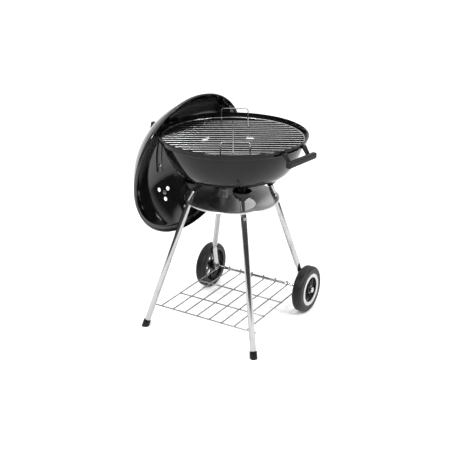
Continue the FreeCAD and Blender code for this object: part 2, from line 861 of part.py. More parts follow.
def make_shelf():
    """Long wires hooked round the axle, a front wire behind the legs and two cross wires."""
    wire = S.shelf_wire.value
    turn_radius = float(S.axle_radius + S.fit_gap + S.shelf_wire)
    level = S.wheel_radius.value - turn_radius
    leg_back = S.foot_spread.value - S.leg_splay.value * level
    front = -(leg_back - S.leg_radius.value * leg_stretch.value - wire - S.fit_gap.value)
    axle = Vector(0, S.axle_place.value, S.wheel_radius.value)
    pieces = []
    count = int(S.shelf_count.value)
    for index in range(count):
        place = S.shelf_half.value * (2.0 * index / (count - 1) - 1)
        bottom = Vector(place, axle.y, level)
        back = Vector(place, axle.y + turn_radius, axle.z)
        crest = Vector(place, axle.y, axle.z + turn_radius)
        line = Part.LineSegment(Vector(place, front, level), bottom).toShape()
        hook = Part.Arc(bottom, back, crest).toShape()
        circle = Part.Circle(Vector(place, front, level), Vector(0, 1, 0), wire)
        pieces.append(Part.Wire([line, hook]).makePipeShell([Part.Wire([circle.toShape()])], True, False))
    half = leg_back + S.shelf_end.value
    rise = 2 * wire - S.weld.value
    pieces.append(Part.makeCylinder(wire, 2 * half, Vector(-half, front, level), Vector(1, 0, 0)))
    inner = S.shelf_half.value
    span = axle.y - front
    for index in range(int(S.shelf_cross.value)):
        place = front + span * (index + 1) / (S.shelf_cross.value + 1)
        end = Vector(-inner, place, level - rise)
        pieces.append(Part.makeCylinder(wire, 2 * inner, end, Vector(1, 0, 0)))
    coded(pieces[0].multiFuse(pieces[1:]), "shelf")


# ---- side handle -------------------------------------------------------------------------

def handle_frame(across):
    """Beside the rim: local x out from the bowl, y along the grip, z down from the rim's top."""
    turn = Rotation(UP, S.handle_azimuth.value)
    return Placement(Vector(0, 0, S.rim_height.value), turn).multiply(at(y=across))


def make_grip(label, length, place):
    """A bar with rounded edges, along local y."""
    wide = S.grip_depth / 2
    tall = S.grip_tall / 2
    edge = S.grip_edge
    body = pad(label + "_bar", "XZ_Plane", length, (-wide + edge, -tall), [
        ((wide - edge, -tall),),
        ((wide, -tall + edge), (wide - edge, -tall + edge), edge),
        ((wide, tall - edge),),
        ((wide - edge, tall), (wide - edge, tall - edge), edge),
        ((-wide + edge, tall),),
        ((-wide, tall - edge), (-wide + edge, tall - edge), edge),
        ((-wide, -tall + edge),),
        ((-wide + edge, -tall), (-wide + edge, -tall + edge), edge)])
    keep(body, label, place)


def make_side_handle():
    """A grip held off the rim's band by two arms whose tabs follow the band."""
    wall = S.rim_radius - S.rim_inset + S.fit_gap
    grip = S.rim_radius + S.grip_reach
    steel = S.arm_steel
    inside = leg_of(wall, (S.arm_spacing + S.arm_width) / 2)
    outside = leg_of(wall, (S.arm_spacing - S.arm_width) / 2) + steel
    low = S.rim_band + S.steel - S.press_radius
    middle = -S.grip_drop
    for name, side in (("front", -1), ("rear", 1)):
        arm = pad("side_arm_" + name, "XZ_Plane", S.arm_width, (inside, -S.tab_top), [
            ((inside, -low),),
            ((outside, -low),),
            ((grip, middle - steel),),
            ((grip, middle + steel),),
            ((outside + steel, -S.tab_top),),
            (None,)])
        band = cylinder(wall, 2 * S.rim_band, at(y=-side * S.arm_spacing / 2, z=-2 * S.rim_band))
        keep(cut(arm, band), "side_handle_%s_arm" % name, handle_frame(side * S.arm_spacing / 2))
    reach = grip + S.fit_gap + S.grip_depth / 2
    make_grip("side_handle_grip", S.grip_length, handle_frame(0).multiply(at(x=reach, z=middle)))


# ---- lid ---------------------------------------------------------------------------------

def dome():
    """Radius of the dome and the height of its centre above the opening."""
    rise = S.lid_height - S.lid_skirt - S.steel
    radius = (S.dome_base * S.dome_base + rise * rise) / (2 * rise)
    return radius, S.lid_height - radius


def make_lid(frame):
    steel = S.steel
    radius, centre = dome()
    inner = S.rim_radius + S.lid_clearance
    bead = (S.rim_radius + S.lid_clearance + S.lid_flare - S.lid_bead, S.lid_bead)
    low = leg_of(S.lid_bead, bead[0] - inner)
    high = leg_of(S.lid_bead, bead[0] - inner - steel)
    zero = as_size(0)
    top = S.lid_skirt + steel
    under = leg_of(radius - steel, S.lid_skirt - centre)
    shell = revolve("lid_blank", (inner + steel, bead[1] + high), [
        ((inner + steel, top),),
        ((S.dome_base, top),),
        ((zero, S.lid_height), (zero, centre), radius),
        ((zero, S.lid_height - steel),),
        ((under, S.lid_skirt), (zero, centre), radius - steel),
        ((inner, S.lid_skirt),),
        ((inner, bead[1] - low),),
        ((inner + steel, bead[1] + high), bead, S.lid_bead, "long")])
    round_rings(shell, [(inner + steel, top, S.press_radius), (under, S.lid_skirt, S.press_radius)])
    holes = []
    for side in (-1, 1):
        spot = at(x=side * S.lid_handle_spacing / 2, z=S.lid_height / 2)
        holes.append(cylinder(S.screw_radius + S.fit_gap, S.lid_height, spot))
    for place in vent_spots():
        tool = cylinder(S.lid_vent_hole, 8 * steel)
        tool.Placement = vent_frame().multiply(at(z=radius - 4 * steel)).multiply(place)
        holes.append(tool)
    pin = cylinder(S.rivet_radius + S.fit_gap, 8 * steel)
    pin.Placement = vent_frame().multiply(at(z=radius - 4 * steel))
    keep(cut(shell, pin, *holes), "lid", frame)


def vent_frame():
    """The lid vent's axis, from the dome's centre out through the vent."""
    radius, centre = dome()
    lean = math.degrees(math.asin(float(S.lid_vent_place / radius)))
    return at(z=centre, rotation=Rotation(Vector(0, 1, 0), -lean))


def vent_spots():
    return [spun(S.lid_vent_circle, turn + S.lid_vent_turn.value, 0) for turn in vent_turns()]


def make_lid_damper(frame):
    radius, centre = dome()
    inner = radius + S.seat_gap
    outer = inner + S.damper_steel
    rim = S.lid_damper_radius
    zero = as_size(0)
    cap = revolve("lid_damper_cap", (zero, inner), [
        ((rim, leg_of(inner, rim)), (zero, zero), inner),
        ((rim, leg_of(outer, rim)),),
        ((zero, outer), (zero, zero), outer),
        (None,)])
    holes = [cylinder(S.rivet_radius + S.run_gap, 8 * S.steel, at(z=inner - 4 * S.steel))]
    for spot in vent_spots():
        holes.append(cylinder(S.lid_vent_hole, 8 * S.steel, at(z=inner - 4 * S.steel).multiply(spot)))
    tab = document.addObject("Part::Box", "lid_damper_tab")
    bind(tab, Length=2 * S.damper_steel, Width=S.tab_rise * 2, Height=S.tab_rise)
    tab.Placement = at(rim - 2 * S.damper_steel, -S.tab_rise, leg_of(outer, rim) - S.damper_steel / 2)
    keep(fuse(cut(cap, *holes), tab), "lid_damper", frame.multiply(vent_frame()))
    length = S.fit_gap + S.steel + S.seat_gap + S.damper_steel + S.seat_gap
    place = frame.multiply(vent_frame()).multiply(at(z=radius - S.steel - S.fit_gap))
    keep(rivet(S.rivet_radius, S.rivet_head, S.rivet_rise, length), "lid_damper_rivet", place)


def make_lid_handle(frame):
    radius, centre = dome()
    half = S.lid_handle_spacing / 2
    foot = S.foot_length / 2
    top = S.lid_height + S.lid_handle_rise
    steel = S.arm_steel
    for name, side in (("upper", 1), ("lower", -1)):
        base = centre + leg_of(radius, half - foot) + S.fit_gap
        arm = pad("lid_arm_" + name, "XZ_Plane", S.arm_width, (half - foot, base), [
            ((half + foot, base),),
            ((half + foot, top),),
            ((half + foot - steel, top),),
            ((half + foot - steel, base + steel),),
            ((half - foot, base + steel),),
            (None,)])
        hole = cylinder(S.screw_radius + S.fit_gap, S.lid_height, at(x=half, z=S.lid_height / 2))
        turn = Rotation(UP, 0 if side > 0 else 180)
        keep(cut(arm, hole), "lid_handle_%s_arm" % name, frame.multiply(at(rotation=turn)))
    bar = frame.multiply(at(z=top + S.fit_gap + S.grip_tall / 2, rotation=Rotation(UP, 90)))
    make_grip("lid_handle_grip", S.lid_handle_length, bar)
    screws = []
    for side in (-1, 1):
        seat = centre + leg_of(radius - S.steel - 3 * S.fit_gap - S.hook_steel, half + S.screw_head)
        length = centre + leg_of(radius, half - foot) + steel + S.fit_gap - seat
        shank = cylinder(S.screw_radius, length + S.screw_rise, at(z=-S.screw_rise))
        head = cylinder(S.screw_head, S.screw_rise, at(z=-S.screw_rise))
        nut = cylinder(S.screw_head, S.screw_rise, at(z=length + S.fit_gap))
        tip = cylinder(S.screw_radius, S.screw_rise, at(z=length))
        both = fuse(shank, head, nut, tip)
        both.Placement = at(x=side * half, z=seat)
        screws.append(both)
    keep(group(*screws), "lid_handle_screws", frame)


def make_hook(frame):
    """A strap along the inside of the dome, bent off it at the end to drop over the rim."""
    radius, centre = dome()
    steel = S.hook_steel
    face = radius - S.steel - 3 * S.fit_gap
    back = face - steel
    low = -S.hook_tail
    lead = S.hook_lead
    span = S.rim_bead + 2 * S.seat_gap

    def on_rim(out, rise):
        """A point given beside and above the bead, in the lid's own axes."""
        return (S.hook_place + rise * cosine(S.hang_tilt) - out * sine(S.hang_tilt),
                S.hook_depth + out * cosine(S.hang_tilt) + rise * sine(S.hang_tilt))

    zero = as_size(0)
    strap = pad("hook_strap", "XZ_Plane", S.hook_width, (low, centre + leg_of(face, low)), [
        ((lead, centre + leg_of(face, lead)), (zero, centre), face),
        (on_rim(span + steel, steel),),
        (on_rim(-span - steel, steel),),
        (on_rim(-span - steel, -S.hook_lip),),
        (on_rim(-span, -S.hook_lip),),
        (on_rim(-span, zero),),
        (on_rim(span, zero),),
        ((lead - steel / 2, centre + leg_of(back, lead - steel / 2)),),
        ((low, centre + leg_of(back, low)), (zero, centre), back),
        (None,)])
    holes = []
    for side in (-1, 1):
        spot = at(x=side * S.lid_handle_spacing / 2, z=S.lid_height / 2)
        holes.append(cylinder(S.screw_radius + S.fit_gap, S.lid_height, spot))
    keep(cut(strap, *holes), "lid_hook", frame)


def make_rests():
    """Two small blocks under the rim, one each side of the hook, for the hung lid's edge."""
    band = S.rim_radius - S.rim_inset
    for name, side in (("front", 1), ("rear", -1)):
        block = document.addObject("Part::Box", "rest_block")
        bind(block, Length=S.rest_reach + 2 * S.rim_inset, Width=S.rest_width, Height=S.rest_height)
        block.Placement = at(band - 2 * S.rim_inset, -S.rest_width / 2, -S.rest_drop - S.rest_height)
        wall = cylinder(band + S.fit_gap, 2 * S.rest_height, at(z=-2 * S.rest_height))
        turn = Rotation(UP, S.hang_azimuth.value + side * S.rest_spread.value)
        keep(cut(block, wall), "lid_rest_" + name, at(z=S.rim_height, rotation=turn))


# ---- the whole grill ---------------------------------------------------------------------

def centre_frame():
    """Moves every piece so that the origin is under the middle of the whole, on the floor."""
    low = Vector(math.inf, math.inf, 0)
    high = Vector(-math.inf, -math.inf, 0)
    for item in parts:
        for point in item.Shape.tessellate(0.2)[0]:
            low = Vector(min(low.x, point.x), min(low.y, point.y), 0)
            high = Vector(max(high.x, point.x), max(high.y, point.y), 0)
    shift = Placement((low + high) * -0.5, Rotation())
    for item in parts:
        item.Placement = shift.multiply(item.Placement)
    print("frame shift", [round(value, 3) for value in shift.Base])


def check_and_write():
    document.recompute()
    for item in document.Objects:
        if "Invalid" in item.State or "Error" in item.State:
            raise RuntimeError("failed: " + item.Label)
    os.makedirs("parts", exist_ok=True)
    for item in parts:
        if item.Shape.isNull() or not item.Shape.isValid() or not item.Shape.Solids:
            raise RuntimeError("bad shape: " + item.Label)
        item.Shape.exportStep("parts/%s.step" % item.Label)


make_bowl()
make_bowl_damper()
make_cooking_grid()
make_grate()
for leg_name, leg_side, leg_end in corners:
    tube_top = make_bracket(leg_name, leg_side, leg_end)
    make_upper_leg(leg_name, leg_side, leg_end, tube_top)
    if leg_end < 0:
        make_front_leg(leg_name, leg_side, leg_end)
    else:
        make_rear_leg(leg_name, leg_side, leg_end)
make_bolts()
drill_leg_joints()
make_leg_screws()
make_ash_catcher()
make_wheel("left", -1)
make_wheel("right", 1)
make_axle()
make_shelf()
make_side_handle()
hung = hang()
make_lid(hung)
make_lid_damper(hung)
make_lid_handle(hung)
make_hook(hung)
make_rests()
document.recompute()
centre_frame()
check_and_write()
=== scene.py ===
import json
import math
import bpy
from mathutils import Matrix, Vector

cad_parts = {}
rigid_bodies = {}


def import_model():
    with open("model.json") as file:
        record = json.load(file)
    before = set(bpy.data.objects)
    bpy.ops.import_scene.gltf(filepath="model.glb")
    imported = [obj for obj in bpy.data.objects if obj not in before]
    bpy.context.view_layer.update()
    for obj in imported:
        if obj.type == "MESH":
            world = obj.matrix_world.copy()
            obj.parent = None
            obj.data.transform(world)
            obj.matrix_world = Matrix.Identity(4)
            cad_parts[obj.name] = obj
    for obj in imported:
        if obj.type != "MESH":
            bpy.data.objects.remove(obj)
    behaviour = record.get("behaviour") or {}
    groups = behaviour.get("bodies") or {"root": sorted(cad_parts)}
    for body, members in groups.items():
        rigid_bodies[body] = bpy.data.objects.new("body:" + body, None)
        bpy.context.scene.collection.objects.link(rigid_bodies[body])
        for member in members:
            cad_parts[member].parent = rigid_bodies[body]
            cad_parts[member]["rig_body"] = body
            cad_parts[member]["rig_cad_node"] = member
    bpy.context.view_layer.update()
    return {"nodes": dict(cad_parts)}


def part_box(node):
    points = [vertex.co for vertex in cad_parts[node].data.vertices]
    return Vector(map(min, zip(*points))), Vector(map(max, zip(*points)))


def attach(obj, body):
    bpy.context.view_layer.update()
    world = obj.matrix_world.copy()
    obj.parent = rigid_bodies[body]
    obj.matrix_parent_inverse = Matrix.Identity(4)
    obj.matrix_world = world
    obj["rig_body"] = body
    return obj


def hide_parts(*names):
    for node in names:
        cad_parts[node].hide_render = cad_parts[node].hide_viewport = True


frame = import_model()
nodes = frame["nodes"]
bowlAxis = Vector((0.050806, -0.019169, 0))  # the bowl's middle, on the floor


# Working tools

def clearSelection():
    if bpy.context.mode != "OBJECT":
        bpy.ops.object.mode_set(mode="OBJECT")
    bpy.ops.object.select_all(action="DESELECT")


def pick(*pieces):
    clearSelection()
    for piece in pieces:
        piece.select_set(True)
    bpy.context.view_layer.objects.active = pieces[0]
    return pieces[0]


def drawLine(name, points):  # leaves the line in edit mode, with its last point selected
    clearSelection()
    bpy.ops.mesh.primitive_plane_add(size=0.002)
    piece = bpy.context.object
    piece.name = name
    bpy.ops.object.mode_set(mode="EDIT")
    bpy.ops.mesh.select_all(action="SELECT")
    bpy.ops.mesh.merge(type="CENTER")
    bpy.ops.transform.translate(value=points[0])
    for before, after in zip(points, points[1:]):
        bpy.ops.mesh.extrude_region_move(TRANSFORM_OT_translate={"value": after - before})
    return piece


def arc(middle, radius, start, end, steps):  # points (across, up) along part of a circle, in degrees
    points = []
    for step in range(steps + 1):
        angle = math.radians(start + (end - start) * step / steps)
        points.append((middle[0] + radius * math.cos(angle), middle[1] + radius * math.sin(angle)))
    return points


def turned(name, outline, place, steps=96, ring=False):  # spins an outline round the local Z axis
    points = [Vector((across, 0, up)) for across, up in outline]
    if ring:
        points.append(points[0].copy())
    piece = drawLine(name, points)
    bpy.ops.mesh.select_all(action="SELECT")
    bpy.ops.mesh.remove_doubles(threshold=0.000002)
    bpy.ops.mesh.spin(steps=steps, angle=2 * math.pi, center=(0, 0, 0), axis=(0, 0, 1))
    bpy.ops.mesh.select_all(action="SELECT")
    bpy.ops.mesh.remove_doubles(threshold=0.000002)
    bpy.ops.mesh.normals_make_consistent(inside=False)
    bpy.ops.object.mode_set(mode="OBJECT")
    piece.data.transform(place)
    return piece


def softCorners(points, bend, steps=6):  # rounds a path's corners
    path = [points[0]]
    for before, corner, after in zip(points, points[1:], points[2:]):
        into = (corner - before).normalized()
        out = (after - corner).normalized()
        half = into.angle(out) / 2
        trim = bend * math.tan(half)
        middle = corner + (out - into).normalized() * (bend / math.cos(half))
        side = (corner - into * trim) - middle
        axis = into.cross(out).normalized()
        for step in range(steps + 1):
            turn = Matrix.Rotation(2 * half * step / steps, 3, axis)
            path.append(middle + turn @ side)
    path.append(points[-1])
    return path


def wire(name, points, radius, roundness=3):  # a round wire along a path
    piece = drawLine(name, points)
    bpy.ops.object.mode_set(mode="OBJECT")
    bpy.ops.object.convert(target="CURVE")
    line = bpy.context.object.data
    line.bevel_depth = radius
    line.bevel_resolution = roundness
    line.use_fill_caps = True
    bpy.ops.object.convert(target="MESH")
    piece = bpy.context.object
    piece.name = name
    return piece


def rod(name, start, end, radius, sides=12):  # a straight round bar with flat ends
    clearSelection()
    along = end - start
    turn = along.to_track_quat("Z", "Y").to_euler()
    bpy.ops.mesh.primitive_cylinder_add(vertices=sides, radius=radius, depth=along.length,
                                        location=(start + end) / 2, rotation=turn)
    piece = bpy.context.object
    piece.name = name
    bpy.ops.object.transform_apply(location=True, rotation=True, scale=True)
    return piece


def joined(name, pieces):
    piece = pick(*pieces)
    if len(pieces) > 1:
        bpy.ops.object.join()
    piece = bpy.context.object
    piece.name = name
    return piece


def eased(piece, width, segments=2, angle=40):  # small rounded edges
    pick(piece)
    bevel = piece.modifiers.new("ease", "BEVEL")
    bevel.width = width
    bevel.segments = segments
    bevel.limit_method = "ANGLE"
    bevel.angle_limit = math.radians(angle)
    bevel.harden_normals = False
    bpy.ops.object.modifier_apply(modifier="ease")
    return piece


def drilled(piece, tools):  # cuts the tools out of a piece and removes them
    for tool in tools:
        pick(piece)
        cutter = piece.modifiers.new("hole", "BOOLEAN")
        cutter.operation = "DIFFERENCE"
        cutter.solver = "EXACT"
        cutter.object = tool
        bpy.ops.object.modifier_apply(modifier="hole")
        bpy.data.objects.remove(tool)
    return piece


def drill(place, radius, depth, sides=32):
    clearSelection()
    bpy.ops.mesh.primitive_cylinder_add(vertices=sides, radius=radius, depth=depth)
    piece = bpy.context.object
    piece.data.transform(place)
    return piece


def settle(piece, body, slot, finish, *replaced, angle=35):
    pick(piece)
    bpy.ops.object.shade_smooth_by_angle(angle=math.radians(angle))
    piece.data.materials.clear()
    piece.data.materials.append(finish)
    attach(piece, body)
    if replaced:
        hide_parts(*replaced)
    return piece


def polished(node, body, slot, finish, rounding, angle=35):  # a clean copy of a plain part, edges eased
    source = nodes[node]
    pick(source)
    bpy.ops.object.duplicate()
    piece = bpy.context.object
    piece.name = node + "_made"
    piece.parent = None
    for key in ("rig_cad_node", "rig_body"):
        del piece[key]
    bpy.ops.object.mode_set(mode="EDIT")
    bpy.ops.mesh.select_all(action="SELECT")
    bpy.ops.mesh.remove_doubles(threshold=0.000003)
    bpy.ops.mesh.dissolve_limited(angle_limit=math.radians(0.5))
    bpy.ops.object.mode_set(mode="OBJECT")
    if rounding:
        eased(piece, rounding)
    return settle(piece, body, slot, finish, node, angle=angle)


# Finishes

class Signal:  # a node's output that can be used in sums
    def __init__(self, finish, socket):
        self.finish = finish
        self.socket = socket

    def maths(self, operation, first, second):
        return self.finish.node("ShaderNodeMath", {"operation": operation}, {0: first, 1: second})

    def __add__(self, other):
        return self.maths("ADD", self, other)

    def __radd__(self, other):
        return self.maths("ADD", other, self)

    def __sub__(self, other):
        return self.maths("SUBTRACT", self, other)

    def __rsub__(self, other):
        return self.maths("SUBTRACT", other, self)

    def __mul__(self, other):
        return self.maths("MULTIPLY", self, other)

    def __rmul__(self, other):
        return self.maths("MULTIPLY", other, self)

    def between(self, low, high, start=0.0, end=1.0):  # low..high becomes start..end, smoothly
        return self.finish.node("ShaderNodeMapRange", {"interpolation_type": "SMOOTHSTEP"},
                                {0: self, 1: low, 2: high, 3: start, 4: end})


class Finish:
    def __init__(self, name, **constants):
        self.material = bpy.data.materials.new(name)
        self.material.use_nodes = True
        self.tree = self.material.node_tree
        self.shader = self.tree.nodes["Principled BSDF"]
        for socket, value in constants.items():
            self.shader.inputs[socket.replace("_", " ")].default_value = value
        self.place = self.node("ShaderNodeTexCoord", {}, {}, "Object")

    def node(self, kind, settings, sockets, output=0):
        item = self.tree.nodes.new(kind)
        for key, value in settings.items():
            setattr(item, key, value)
        for key, value in sockets.items():
            if isinstance(value, Signal):
                self.tree.links.new(value.socket, item.inputs[key])
            else:
                item.inputs[key].default_value = value
        return Signal(self, item.outputs[output])

    def scaled(self, scale, turn=(0, 0, 0)):
        return self.node("ShaderNodeMapping", {}, {"Vector": self.place, "Scale": scale, "Rotation": turn})

    def noise(self, scale, detail, rough, where=None):
        return self.node("ShaderNodeTexNoise", {}, {"Vector": where or self.place, "Scale": scale,
                                                    "Detail": detail, "Roughness": rough}, "Fac")

    def cells(self, scale):
        return self.node("ShaderNodeTexVoronoi", {}, {"Vector": self.place, "Scale": scale}, "Distance")

    def blended(self, mask, first, second):
        return self.node("ShaderNodeMix", {"data_type": "RGBA"}, {0: mask, 6: first, 7: second}, 2)

    def colour(self, value):
        self.tree.links.new(value.socket, self.shader.inputs["Base Color"])

    def roughness(self, value):
        self.tree.links.new(value.socket, self.shader.inputs["Roughness"])

    def bumps(self, height, depth, strength):
        bump = self.node("ShaderNodeBump", {}, {"Strength": strength, "Distance": depth, "Height": height})
        self.tree.links.new(bump.socket, self.shader.inputs["Normal"])


def grey(level, warm=0.0):
    return (level * (1 + warm), level, level * (1 - warm), 1.0)


enamel = {"dark": 0.004, "light": 0.010, "rough": 0.06, "peel": 260.0, "bowlShine": 0.20, "lidShine": 0.55}


def makeEnamel(name, shine):
    made = Finish(name, Specular_IOR_Level=shine)
    cloud = made.noise(9.0, 4.0, 0.55)
    specks = made.cells(900.0).between(0.05, 0.20, 1.0, 0.0)
    made.colour(made.blended(cloud.between(0.3, 0.7) * 0.6 + specks * 0.4, grey(enamel["dark"]),
                             grey(enamel["light"])))
    film = made.noise(38.0, 5.0, 0.6).between(0.35, 0.75)
    made.roughness(enamel["rough"] + film * 0.05)
    made.bumps(made.noise(enamel["peel"], 2.0, 0.4) + made.noise(45.0, 2.0, 0.5) * 0.8, 0.00004, 0.35)
    return made.material


satinBlack = {"dark": 0.005, "light": 0.012, "rough": 0.32}


def makeSatinBlack():
    made = Finish("satinBlackPaint", Specular_IOR_Level=0.25)
    cloud = made.noise(60.0, 4.0, 0.6)
    made.colour(made.blended(cloud.between(0.3, 0.7), grey(satinBlack["dark"]), grey(satinBlack["light"])))
    made.roughness(satinBlack["rough"] + made.noise(140.0, 4.0, 0.6) * 0.16)
    made.bumps(made.noise(900.0, 2.0, 0.5), 0.00006, 0.5)
    return made.material


chrome = {"level": 0.43, "dull": 0.34, "rough": 0.09}


def makeChrome():
    made = Finish("polishedPlate", Metallic=1.0)
    streaks = made.noise(60.0, 3.0, 0.6, made.scaled((14.0, 14.0, 0.6)))
    smears = made.noise(22.0, 5.0, 0.65)
    made.colour(made.blended(smears.between(0.45, 0.8), grey(chrome["level"]), grey(chrome["dull"], 0.01)))
    made.roughness(chrome["rough"] + streaks.between(0.3, 0.8) * 0.07 + smears.between(0.5, 0.85) * 0.08)
    made.bumps(streaks, 0.00002, 0.35)
    return made.material


plated = {"grid": (0.42, 0.26), "shelf": (0.26, 0.17), "rough": 0.22}


def makeWire(name, level, dull):
    made = Finish(name, Metallic=1.0)
    patches = made.noise(55.0, 5.0, 0.6)
    pits = made.cells(1400.0).between(0.05, 0.25, 1.0, 0.0)
    made.colour(made.blended(patches.between(0.42, 0.75) * 0.7 + pits * 0.3, grey(level), grey(dull, 0.02)))
    made.roughness(plated["rough"] + patches * 0.14)
    made.bumps(made.noise(600.0, 3.0, 0.6) - pits * 0.5, 0.00004, 0.5)
    return made.material


drawn = {"level": 0.30, "dull": 0.17, "rough": 0.34}


def makeGrateSteel():
    made = Finish("drawnSteel", Metallic=1.0)
    patches = made.noise(40.0, 5.0, 0.65)
    made.colour(made.blended(patches.between(0.35, 0.7), grey(drawn["level"]), grey(drawn["dull"], 0.05)))
    made.roughness(drawn["rough"] + patches * 0.2)
    made.bumps(made.noise(700.0, 4.0, 0.6), 0.00006, 0.7)
    return made.material


zinc = {"level": 0.66, "dull": 0.45, "rough": 0.22, "flake": 420.0}


def makeSteel():
    made = Finish("zincSteel", Metallic=1.0)
    flakes = made.cells(zinc["flake"])
    made.colour(made.blended(flakes.between(0.1, 0.6), grey(zinc["level"]), grey(zinc["dull"], -0.01)))
    made.roughness(zinc["rough"] + flakes * 0.18)
    made.bumps(made.noise(800.0, 3.0, 0.5), 0.00003, 0.4)
    return made.material


sheet = {"level": 0.62, "dull": 0.44, "rough": 0.27}


def makeAluminium():
    made = Finish("rolledAluminium", Metallic=1.0)
    grain = made.noise(30.0, 4.0, 0.65, made.scaled((1.0, 26.0, 26.0), (0, 0, 0.5)))
    smears = made.noise(14.0, 5.0, 0.6)
    made.colour(made.blended(smears.between(0.4, 0.8), grey(sheet["level"]), grey(sheet["dull"])))
    made.roughness(sheet["rough"] + grain.between(0.3, 0.8) * 0.10 + smears.between(0.4, 0.8) * 0.06)
    made.bumps(grain, 0.00003, 0.5)
    return made.material


nylon = {"dark": 0.006, "light": 0.013, "rough": 0.30, "grain": 1500.0}


def makeNylon():
    made = Finish("mouldedNylon", Specular_IOR_Level=0.15)
    cloud = made.noise(70.0, 3.0, 0.5)
    made.colour(made.blended(cloud.between(0.3, 0.7), grey(nylon["dark"]), grey(nylon["light"])))
    made.roughness(nylon["rough"] + made.noise(220.0, 4.0, 0.6) * 0.16)
    made.bumps(made.cells(nylon["grain"]) + made.noise(500.0, 2.0, 0.5) * 0.5, 0.00007, 0.5)
    return made.material


lathed = {"level": 0.34, "dull": 0.22, "rough": 0.24}


def makeKnobMetal():
    made = Finish("turnedKnob", Metallic=1.0)
    lines = made.noise(30.0, 4.0, 0.6, made.scaled((1.0, 1.0, 40.0)))
    made.colour(made.blended(lines.between(0.35, 0.7), grey(lathed["level"]), grey(lathed["dull"])))
    made.roughness(lathed["rough"] + lines * 0.16)
    made.bumps(lines, 0.00003, 0.5)
    return made.material


hubPlastic = {"dark": 0.008, "light": 0.015, "rough": 0.22}


def makeHubPlastic():
    made = Finish("mouldedHub", Specular_IOR_Level=0.5)
    cloud = made.noise(50.0, 3.0, 0.5)
    made.colour(made.blended(cloud.between(0.3, 0.7), grey(hubPlastic["dark"]), grey(hubPlastic["light"])))
    made.roughness(hubPlastic["rough"] + cloud * 0.14)
    made.bumps(made.noise(700.0, 3.0, 0.5), 0.00005, 0.4)
    return made.material


tyrePlastic = {"dark": 0.008, "dusty": 0.022, "rough": 0.38}


def makeTyre():
    made = Finish("tyrePlastic", Specular_IOR_Level=0.3)
    dust = made.noise(30.0, 5.0, 0.65)
    made.colour(made.blended(dust.between(0.4, 0.8), grey(tyrePlastic["dark"]),
                             grey(tyrePlastic["dusty"], 0.03)))
    made.roughness(tyrePlastic["rough"] + dust * 0.22)
    made.bumps(made.noise(420.0, 4.0, 0.6) + made.cells(260.0) * 0.5, 0.00012, 0.6)
    return made.material


trimPlastic = {"level": 0.52, "dusty": 0.42, "rough": 0.24, "coat": 0.3}


def makeTrim():
    made = Finish("trimPlastic", Coat_Weight=trimPlastic["coat"], Coat_Roughness=0.1)
    dust = made.noise(26.0, 5.0, 0.6)
    made.colour(made.blended(dust.between(0.45, 0.85), grey(trimPlastic["level"]),
                             grey(trimPlastic["dusty"], 0.02)))
    made.roughness(trimPlastic["rough"] + dust * 0.16)
    made.bumps(made.noise(500.0, 3.0, 0.5), 0.00004, 0.4)
    return made.material


finishes = {"enamel": makeEnamel("bowlEnamel", enamel["bowlShine"]),
            "lid_enamel": makeEnamel("lidEnamel", enamel["lidShine"]),
            "black_steel": makeSatinBlack(),
            "chrome": makeChrome(),
            "wire": makeWire("gridWire", *plated["grid"]),
            "shelf_wire": makeWire("shelfWire", *plated["shelf"]),
            "grate_steel": makeGrateSteel(),
            "steel": makeSteel(),
            "aluminium": makeAluminium(),
            "handle_plastic": makeNylon(),
            "foot_plastic": makeNylon(),
            "knob_metal": makeKnobMetal(),
            "hub_plastic": makeHubPlastic(),
            "tyre": makeTyre(),
            "trim_white": makeTrim()}
print("finishes made")


# Bowl

bowl = {"rim": 0.225, "top": 0.6095, "depth": 0.150, "sheet": 0.0012, "bead": 0.003, "inset": 0.004,
        "band": 0.0175, "ledge": 0.2115, "dish": 0.430, "corner": 0.080, "cornerStart": 19.0,
        "cornerEnd": 55.0, "press": 0.0035, "ventHole": 0.011, "ventCircle": 0.028}
ventTurns = (0, 120, 240)  # the three holes of a vent, in degrees


def tangentPoint(middle, radius, slope):
    angle = math.radians(slope)
    return middle[0] + radius * math.sin(angle), middle[1] - radius * math.cos(angle)


